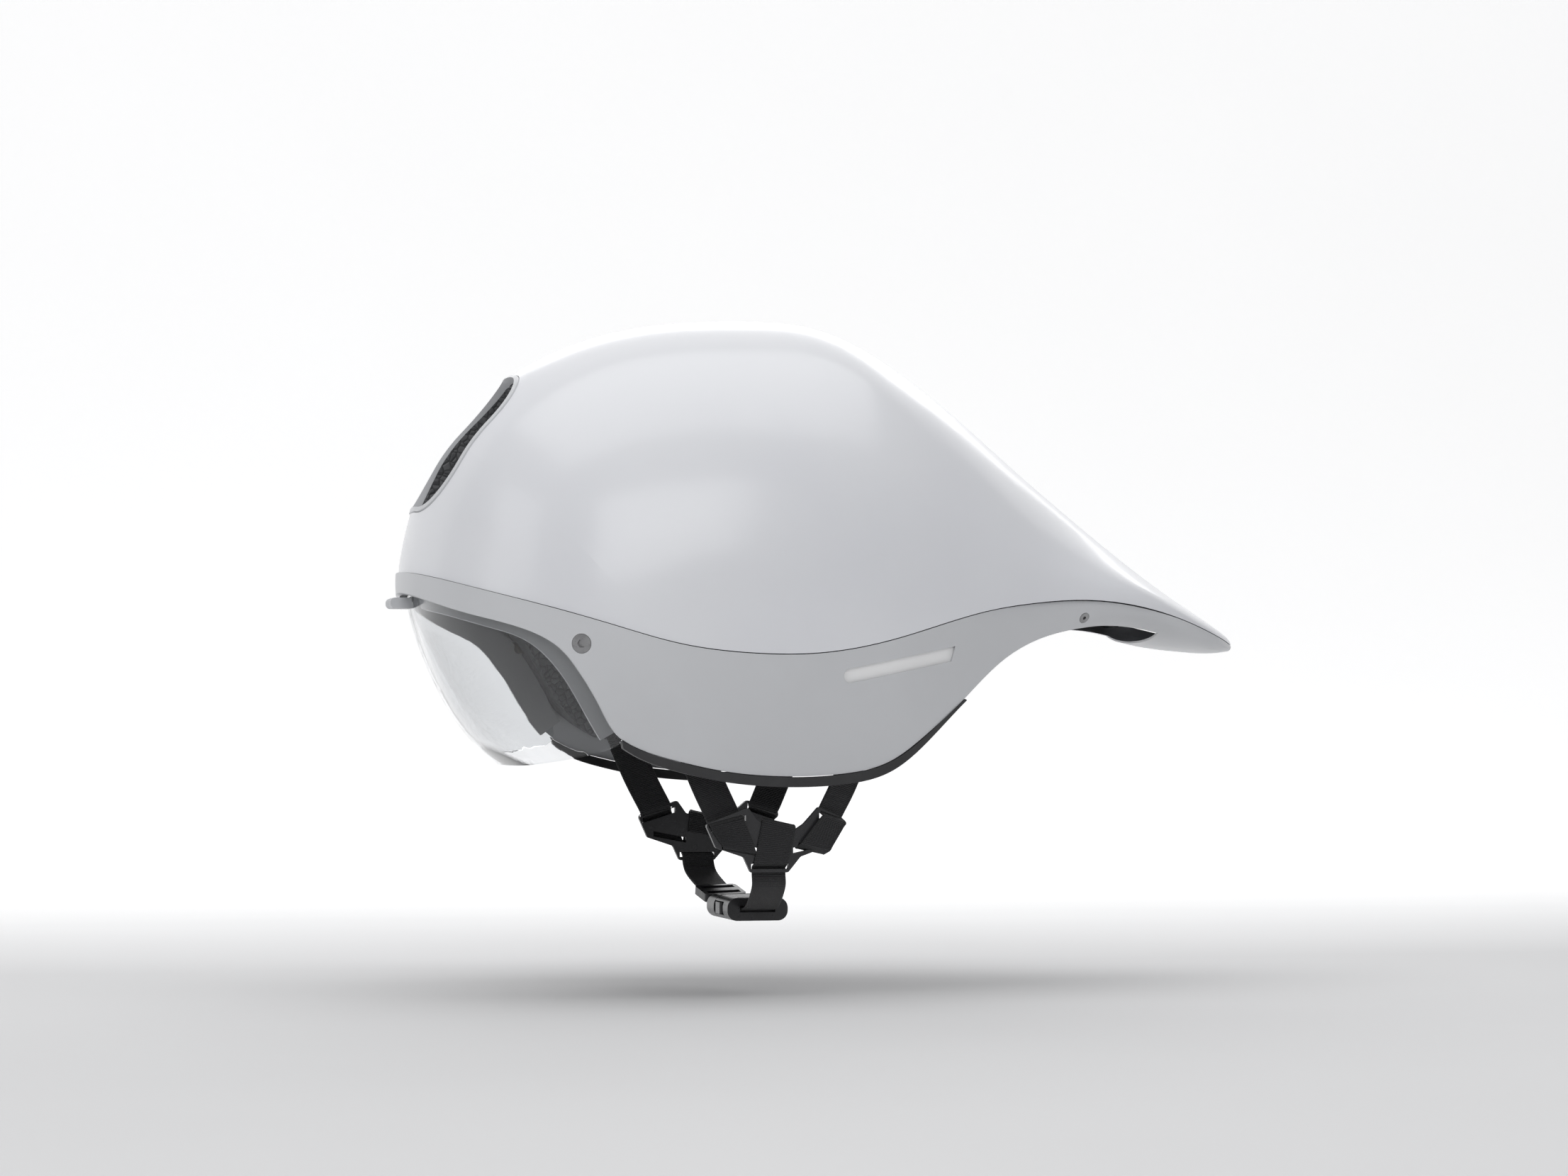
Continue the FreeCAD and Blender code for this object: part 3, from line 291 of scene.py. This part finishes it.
GLOSS = gloss_white().material
SATIN = satin_white().material
LEDGE = satin_white("ledge_white", (0.46, 0.465, 0.475)).material
INLAY = satin_white("inlay_white", (0.95, 0.95, 0.95)).material
FOAM = bead_foam().material
RUBBER = soft_rubber().material
LENS = clear_lens().material
TAB = moulded("tab_grey", (0.50, 0.51, 0.53), 0.35, 0.5).material
STEEL = steel().material
BRASS = brass().material
NICKEL = nickel().material
CRADLE = moulded("cradle_nylon", (0.040, 0.040, 0.044), 0.4, 0.55).material
DIAL = moulded("dial_nylon", (0.075, 0.075, 0.082), 0.35, 0.5).material
BUCKLE = moulded("buckle_acetal", (0.020, 0.020, 0.022), 0.22, 0.36).material
SLIDER = moulded("slider_acetal", (0.026, 0.026, 0.028), 0.20, 0.32).material
WEB = woven_strap().material
CLOTH = pad_cloth().material
THREAD = thread().material

BY_SLOT = {
    "shell_gloss": GLOSS, "shell_satin": SATIN, "vent_white": SATIN, "inlay_white": INLAY, "foam_grey": FOAM,
    "trim_black": RUBBER, "lens_clear": LENS, "tab_grey": TAB, "steel": STEEL, "brass": BRASS, "magnet": NICKEL,
    "pad_fabric": CLOTH, "cradle_plastic": CRADLE, "dial_plastic": DIAL, "webbing": WEB,
    "buckle_plastic": BUCKLE,
}


def finish_nodes():
    """Every CAD node that stays on show takes the finish of its slot."""
    for piece in frame["record"]["subparts"]:
        node = NODES[piece["node"]]
        material = BY_SLOT[piece["material_slot"]]
        if piece["node"].startswith("visor_ledge"):
            material = LEDGE
        if piece["node"].startswith("strap_divider"):
            material = SLIDER
        node.data.materials.clear()
        node.data.materials.append(material)
        node.data.polygons.foreach_set("material_index", [0] * len(node.data.polygons))


# ---- webbing ------------------------------------------------------------------------------------

# The straps on the wearer's left, in millimetres: each station is a middle point and the width's direction.
FRONT_STRAP = (((-31.0, -74.6, 2.0), (0.94, 0, 0.34)), ((-22.0, -75.0, -20.0), (0.94, 0, 0.34)),
               ((-12.4, -72.4, -43.0), (0.94, 0, 0.33)), ((-5.4, -70.6, -57.2), (0.95, 0, 0.30)),
               ((-4.7, -70.8, -59.0), (0.95, 0, 0.29)), ((-3.7, -74.4, -61.2), (0.96, 0, 0.25)),
               ((-3.1, -74.7, -62.8), (0.96, 0, 0.20)), ((1.2, -74.7, -71.4), (0.98, 0, -0.15)),
               ((1.9, -74.3, -72.8), (0.98, 0, -0.18)), ((2.3, -71.9, -73.9), (0.98, 0, -0.20)))
REAR_STRAP = (((70.0, -59.0, 4.0), (0.82, 0.40, -0.30)), ((60.6, -63.0, -18.0), (0.82, 0.42, -0.30)),
              ((50.6, -63.8, -43.5), (0.83, 0.48, -0.28)), ((44.8, -62.0, -56.4), (0.82, 0.51, -0.26)),
              ((44.0, -62.6, -58.2), (0.82, 0.51, -0.26)), ((45.0, -66.4, -60.2), (0.82, 0.51, -0.26)),
              ((43.6, -67.2, -61.8), (0.83, 0.49, -0.26)), ((36.4, -71.9, -70.4), (0.92, 0.31, -0.22)),
              ((35.4, -72.0, -71.8), (0.93, 0.28, -0.21)), ((33.4, -69.4, -73.4), (0.94, 0.26, -0.20)))
CHIN_STRAP = (((17.9, -70.5, -70.5), (0.985, 0, -0.17)), ((18.6, -70.6, -63.2), (0.975, 0, -0.224)),
              ((18.9, -71.2, -61.8), (0.975, 0, -0.224)), ((19.0, -72.6, -61.2), (0.975, 0, -0.224)),
              ((18.9, -74.0, -61.8), (0.975, 0, -0.224)), ((18.6, -74.7, -63.2), (0.975, 0, -0.224)),
              ((15.6, -74.7, -77.0), (1, 0, -0.02)), ((15.3, -74.3, -78.6), (1, 0, 0)),
              ((15.2, -70.9, -80.0), (1, 0, 0)), ((15.2, -70.4, -81.6), (1, 0, 0)),
              ((15.3, -70.2, -83.8), (1, 0, 0)), ((16.2, -66.6, -88.4), (1, 0, 0)),
              ((18.6, -50.0, -94.6), (1, 0, 0)), ((21.2, -32.0, -98.8), (1, 0, 0)),
              ((22.0, -22.0, -100.2), (1, 0, 0)), ((22.0, -18.4, -100.4), (1, 0, 0)))
WEB_WIDTH, WEB_THICK, WEB_STEP = 0.0148, 0.00115, 0.0012
# Half of the webbing's section, in shares of its width and thickness: a flat field between rounded selvedges.
WEB_SECTION = ((-0.5, 0.0), (-0.494, 0.30), (-0.474, 0.47), (-0.45, 0.5), (-0.415, 0.42), (-0.25, 0.42),
               (0.0, 0.42), (0.25, 0.42), (0.415, 0.42), (0.45, 0.5), (0.474, 0.47), (0.494, 0.30), (0.5, 0.0))


def curve_point(a, b, c, d, t):
    """A point between b and c on the smooth curve through a, b, c and d."""
    return 0.5 * (2 * b + (c - a) * t + (2 * a - 5 * b + 4 * c - d) * t * t + (3 * b - a - 3 * c + d) * t ** 3)


def strap_path(stations, side):
    """Middle points and width directions along a strap. side is 1 on the left and -1 on the right."""
    middles = [Vector((x, side * y, z)) * MM for (x, y, z), _ in stations]
    widths = [Vector((x, side * y, z)).normalized() for _, (x, y, z) in stations]
    path = []
    last = len(stations) - 1
    for i in range(last):
        nearby = [max(i - 1, 0), i, i + 1, min(i + 2, last)]
        count = max(2, round((middles[i + 1] - middles[i]).length / WEB_STEP))
        for k in range(count + (i == last - 1)):
            point = curve_point(*[middles[j] for j in nearby], k / count)
            path.append((point, widths[i].lerp(widths[i + 1], k / count).normalized()))
    return path


def webbing(name, stations, side):
    """Flat webbing through stations, with rounded selvedges and a UV map in metres."""
    path = strap_path(stations, side)
    section = list(WEB_SECTION) + [(s, -t) for s, t in reversed(WEB_SECTION[1:-1])]
    bm = bmesh.new()
    uv = bm.loops.layers.uv.new("strap")
    rings, marks = [], []
    run = 0.0
    for i, (point, width) in enumerate(path):
        ahead = path[min(i + 1, len(path) - 1)][0] - path[max(i - 1, 0)][0]
        up = ahead.cross(width).normalized() * WEB_THICK
        run += (point - path[max(i - 1, 0)][0]).length
        rings.append([bm.verts.new(point + width * (s * WEB_WIDTH) + up * t) for s, t in section])
        marks.append(run)
    across = [s * WEB_WIDTH + (0.0 if t >= 0 else WEB_WIDTH) for s, t in section]
    for i in range(len(rings) - 1):
        for j in range(len(section)):
            k = (j + 1) % len(section)
            face = bm.faces.new((rings[i][j], rings[i][k], rings[i + 1][k], rings[i + 1][j]))
            face.smooth = True
            corners = ((j, i), (k, i), (k, i + 1), (j, i + 1))
            for loop, (around, ring) in zip(face.loops, corners):
                loop[uv].uv = (across[around], marks[ring])
    bm.faces.new(rings[0])
    bm.faces.new(list(reversed(rings[-1])))
    bmesh.ops.recalc_face_normals(bm, faces=bm.faces)
    return piece_from(bm, name, WEB)


def piece_from(bm, name, material):
    """A new object of one material from a bmesh, which it uses up."""
    mesh = bpy.data.meshes.new(name)
    bm.to_mesh(mesh)
    bm.free()
    piece = bpy.data.objects.new(name, mesh)
    mesh.materials.append(material)
    bpy.context.collection.objects.link(piece)
    return piece


def straps():
    """The webbing of both sides, in place of the CAD's plain straps."""
    for side_name, side in (("left", 1), ("right", -1)):
        for name, stations in (("front_strap", FRONT_STRAP), ("rear_strap", REAR_STRAP)):
            strap = webbing(f"{name}_webbing_{side_name}", stations, side)
            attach(strap, "helmet")
            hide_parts(f"{name}_{side_name}")
        chin = webbing(f"chin_strap_webbing_{side_name}", CHIN_STRAP, side)
        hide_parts(f"divider_web_{side_name}", f"chin_strap_{side_name}")
        if side_name == "left":
            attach(chin, "helmet")
        else:
            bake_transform(chin)


# Radius of each moulded part's edges, in millimetres.
EDGE_RADII = {
    "strap_divider_left": 0.45, "strap_divider_right": 0.45, "buckle_housing": 0.5, "buckle_plug": 0.5,
    "buckle_prong_front": 0.3, "buckle_prong_rear": 0.3, "ladder_lock": 0.3, "visor_tab": 0.5,
}


def ease_edges():
    """A small radius on the moulded parts' edges, as a mould leaves."""
    for name, radius in EDGE_RADII.items():
        bevel = NODES[name].modifiers.new("edge radius", "BEVEL")
        bevel.width = radius * MM
        bevel.segments = 3
        bevel.limit_method = "ANGLE"
        bevel.angle_limit = math.radians(38)


# ---- pads ---------------------------------------------------------------------------------------

# Each pad: the two axes its outline lies along, the axis it faces and which way, its sewn channels and the body
# it rides on. A channel is an axis and a place on it in millimetres.
PADS = {
    "brow_pad": ("yz", "x", 1, (("y", -26.0), ("y", 0.0), ("y", 26.0)), "helmet"),
    "crown_pad": ("xy", "z", -1, (("x", -15.0), ("x", 15.0)), "helmet"),
    "top_pad_left": ("xy", "z", -1, (("x", -20.0), ("x", 10.0)), "helmet"),
    "top_pad_right": ("xy", "z", -1, (("x", -20.0), ("x", 10.0)), "helmet"),
    "side_pad_left": ("xz", "y", 1, (("x", -15.0), ("x", 15.0)), "helmet"),
    "side_pad_right": ("xz", "y", -1, (("x", -15.0), ("x", 15.0)), "helmet"),
    "nape_pad_left": ("xz", "y", 1, (("z", 21.5),), "band_left"),
    "nape_pad_right": ("xz", "y", -1, (("z", 18.5),), "band_right"),
    "cradle_pad": ("yz", "x", -1, (("y", -7.0), ("y", 7.0)), "cradle"),
}
AXIS = {"x": 0, "y": 1, "z": 2}
PAD_VOXEL = 0.002
PAD_SWELL = 0.0012        # how far a point of a pad may move as it swells
PAD_ROUNDING = 0.0045     # how far in from its outline a pad reaches its full thickness
PAD_THIN, PAD_THICK = 0.003, 0.0037
EDGE_DROP = 0.72          # how much of its thickness a pad loses right at its outline
CHANNEL_DEPTH, CHANNEL_HALF_WIDTH = 0.0011, 0.0011
FACING = 0.35             # a surface within about 70 degrees of a direction faces it
CLOTH_FRAMES, CLOTH_PRESSURE, CLOTH_STIFFNESS, CLOTH_BENDING = 20, 4.0, 25.0, 0.5
PROBE_START = 0.01        # how far outside a pad the search for its surface starts
SEAM_INSET, STITCH_PITCH, STITCH_RADIUS, STITCH_LIFT = 0.0024, 0.0030, 0.00026, 0.0006
# Along one stitch: the share of its length, its height in shares of STITCH_LIFT, and its share of the radius.
STITCH_SHAPE = ((0.0, -0.10, 0.5), (0.2, 0.22, 0.9), (0.5, 0.34, 1.0), (0.8, 0.22, 0.9), (1.0, -0.10, 0.5))


def apply_modifiers(piece):
    """Give the piece the mesh that its modifiers make of it."""
    graph = bpy.context.evaluated_depsgraph_get()
    piece.data = bpy.data.meshes.new_from_object(piece.evaluated_get(graph))
    piece.modifiers.clear()


def swell(pad, glued):
    """Blow the pad up a little as cloth. The glued points stay where they are."""
    rest = [v.co.copy() for v in pad.data.vertices]
    group = pad.vertex_groups.new(name="glued")
    group.add(glued, 1.0, "REPLACE")
    cloth = pad.modifiers.new("cloth", "CLOTH")
    cloth.settings.vertex_group_mass = "glued"
    cloth.settings.use_pressure = True
    cloth.settings.uniform_pressure_force = CLOTH_PRESSURE
    cloth.settings.tension_stiffness = CLOTH_STIFFNESS
    cloth.settings.compression_stiffness = CLOTH_STIFFNESS
    cloth.settings.bending_stiffness = CLOTH_BENDING
    cloth.settings.effector_weights.gravity = 0.0
    cloth.point_cache.frame_start, cloth.point_cache.frame_end = 1, CLOTH_FRAMES
    for number in range(1, CLOTH_FRAMES + 1):
        bpy.context.scene.frame_set(number)
    apply_modifiers(pad)
    bpy.context.scene.frame_set(1)
    for vertex, start in zip(pad.data.vertices, rest):
        move = vertex.co - start
        if move.length > PAD_SWELL:
            vertex.co = start + move.normalized() * PAD_SWELL


def soft_pad(name, outline_axes, facing, way, channels, body):
    """A fabric pad with a rounded edge and sewn channels, in the space of its CAD solid."""
    low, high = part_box(name)
    pad = bpy.data.objects.new(name + "_cover", NODES[name].data.copy())
    bpy.context.collection.objects.link(pad)
    remesh = pad.modifiers.new("remesh", "REMESH")
    remesh.mode, remesh.voxel_size = "VOXEL", PAD_VOXEL
    apply_modifiers(pad)
    inward = Vector([way if AXIS[facing] == i else 0 for i in range(3)])
    outline = [AXIS[a] for a in outline_axes]
    thick = PAD_THIN if name.startswith(("side", "nape")) else PAD_THICK
    glued = []
    for vertex in pad.data.vertices:
        facing_in = vertex.normal.dot(inward)
        if facing_in < -FACING:
            glued.append(vertex.index)
        elif facing_in > FACING:
            margin = min(min(vertex.co[i] - low[i], high[i] - vertex.co[i]) for i in outline)
            full = math.sqrt(max(0.0, 1 - (1 - min(1.0, max(margin, 0.0) / PAD_ROUNDING)) ** 2))
            vertex.co -= vertex.normal * (thick * EDGE_DROP * (1 - full))
    swell(pad, glued)
    smooth = pad.modifiers.new("smooth", "SUBSURF")
    smooth.levels = smooth.render_levels = 1
    apply_modifiers(pad)
    pad.vertex_groups.clear()
    for vertex in pad.data.vertices:
        if vertex.normal.dot(inward) < 0.2:
            continue
        for axis, place in channels:
            away = (vertex.co[AXIS[axis]] - place * MM) / CHANNEL_HALF_WIDTH
            vertex.co -= vertex.normal * (CHANNEL_DEPTH * math.exp(-away * away))
    pad.data.materials.clear()
    pad.data.materials.append(CLOTH)
    pad.data.shade_smooth()
    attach(pad, body)
    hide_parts(name)
    sew(pad, name, outline, facing, inward, channels, low, high, body)


def sew(pad, name, outline, facing, inward, channels, low, high, body):
    """Stitches in the channels and round the pad, a little way in from its edge."""
    a, b = outline
    la, ha = low[a] + SEAM_INSET, high[a] - SEAM_INSET
    lb, hb = low[b] + SEAM_INSET, high[b] - SEAM_INSET
    lines = [((la, lb), (ha, lb)), ((ha, lb), (ha, hb)), ((ha, hb), (la, hb)), ((la, hb), (la, lb))]
    for axis, place in channels:
        spot = place * MM
        lines.append(((spot, lb), (spot, hb)) if AXIS[axis] == a else ((la, spot), (ha, spot)))
    pad.data.update()
    tree = BVHTree.FromPolygons([v.co for v in pad.data.vertices], [p.vertices for p in pad.data.polygons])
    across = AXIS[facing]
    outside = high[across] + PROBE_START if inward[across] > 0 else low[across] - PROBE_START
    bm = bmesh.new()
    for (a0, b0), (a1, b1) in lines:
        count = max(1, int(math.hypot(a1 - a0, b1 - b0) / STITCH_PITCH))
        for k in range(count):
            ends = []
            for t in ((k + 0.12) / count, (k + 0.80) / count):
                probe = Vector((0.0, 0.0, 0.0))
                probe[a], probe[b] = a0 + (a1 - a0) * t, b0 + (b1 - b0) * t
                probe[across] = outside
                place, normal, _, _ = tree.ray_cast(probe, -inward)
                if place is not None:
                    ends.append((place, normal))
            if len(ends) == 2:
                stitch(bm, *ends)
    if not bm.verts:
        bm.free()
        return
    stitches = piece_from(bm, name + "_stitches", THREAD)
    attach(stitches, body)


def stitch(bm, start, end):
    """One stitch: a short thread that rises out of the cloth and goes back in."""
    (p0, n0), (p1, n1) = start, end
    run = (p1 - p0).normalized()
    rings = []
    for t, lift, share in STITCH_SHAPE:
        normal = n0.lerp(n1, t).normalized()
        middle = p0.lerp(p1, t) + normal * (lift * STITCH_LIFT)
        side = run.cross(normal).normalized()
        radius = share * STITCH_RADIUS
        rings.append([bm.verts.new(middle + (side * math.cos(c) + normal * math.sin(c)) * radius)
                      for c in (math.pi * k / 3 for k in range(6))])
    for first, second in zip(rings, rings[1:]):
        for j in range(6):
            bm.faces.new((first[j], first[(j + 1) % 6], second[(j + 1) % 6], second[j])).smooth = True
    bm.faces.new(list(reversed(rings[0])))
    bm.faces.new(rings[-1])


def pads():
    for name, (outline_axes, facing, way, channels, body) in PADS.items():
        soft_pad(name, outline_axes, facing, way, channels, body)


# ---- studio -------------------------------------------------------------------------------------

FLOOR_DROP = 0.03                                  # how far the floor lies below the object
FLOOR_FRONT, FLOOR_BACK, CURVE, WALL_TOP = -3.2, 1.6, 1.4, 5.5
PAPER_HALF_WIDTH = 6.0
CAMERA_PLACE, CAMERA_LENS = (-0.3602, -1.6622, -0.0162), 88.5
CAMERA_AZIMUTH, CAMERA_ELEVATION = math.radians(-13.5), math.radians(-1.9)


def area_light(name, where, aim, width, height, power):
    data = bpy.data.lights.new(name, "AREA")
    data.shape = "RECTANGLE"
    data.size, data.size_y, data.energy = width, height, power
    light = bpy.data.objects.new(name, data)
    light.location = where
    light.rotation_mode = "QUATERNION"
    light.rotation_quaternion = (Vector(aim) - Vector(where)).to_track_quat("-Z", "Y")
    bpy.context.collection.objects.link(light)


def backdrop(floor_level, material):
    """A pale paper sweep: a floor that curves up into a wall well behind the object."""
    profile = [(FLOOR_FRONT, 0.0), (FLOOR_BACK, 0.0)]
    profile += [(FLOOR_BACK + CURVE * math.sin(a), CURVE - CURVE * math.cos(a))
                for a in (math.pi / 2 * k / 16 for k in range(1, 17))]
    profile.append((FLOOR_BACK + CURVE, WALL_TOP))
    mesh = bpy.data.meshes.new("paper_sweep")
    verts = [(x, y, floor_level + z) for y, z in profile for x in (-PAPER_HALF_WIDTH, PAPER_HALF_WIDTH)]
    faces = [(2 * i, 2 * i + 1, 2 * i + 3, 2 * i + 2) for i in range(len(profile) - 1)]
    mesh.from_pydata(verts, [], faces)
    mesh.shade_smooth()
    sweep = bpy.data.objects.new("paper_sweep", mesh)
    mesh.materials.append(material)
    bpy.context.collection.objects.link(sweep)


def studio():
    """A pale paper sweep, soft lights and the camera."""
    floor_level = CAD_BOX[0].z - FLOOR_DROP
    backdrop(floor_level, studio_paper().material)
    world = bpy.data.worlds.new("studio")
    bpy.context.scene.world = world
    world.use_nodes = True
    world.node_tree.nodes["Background"].inputs["Color"].default_value = (0.97, 0.98, 1.0, 1.0)
    world.node_tree.nodes["Background"].inputs["Strength"].default_value = 0.22
    area_light("overhead", (0.05, -0.1, 1.6), (0.05, 0.0, 0.0), 2.4, 1.5, 16.0)
    area_light("side", (-0.2, -2.0, 0.9), (0.05, 0.0, 0.07), 1.6, 1.2, 13.0)
    area_light("rim", (0.5, 1.4, 0.9), (0.05, 0.0, 0.1), 1.4, 0.5, 5.0)
    area_light("front", (-1.6, -0.5, 0.6), (-0.05, 0.0, 0.05), 0.8, 1.0, 3.0)
    data = bpy.data.cameras.new("camera")
    data.sensor_width, data.lens = 36.0, CAMERA_LENS
    camera = bpy.data.objects.new("camera", data)
    level = math.cos(CAMERA_ELEVATION)
    back = Vector((math.sin(CAMERA_AZIMUTH) * level, -math.cos(CAMERA_AZIMUTH) * level,
                   math.sin(CAMERA_ELEVATION)))
    camera.location = CAMERA_PLACE
    camera.rotation_mode = "QUATERNION"
    camera.rotation_quaternion = (-back).to_track_quat("-Z", "Y")
    bpy.context.collection.objects.link(camera)
    bpy.context.scene.camera = camera
    bpy.context.scene.view_settings.view_transform = "Standard"


finish_nodes()
straps()
ease_edges()
pads()
studio()
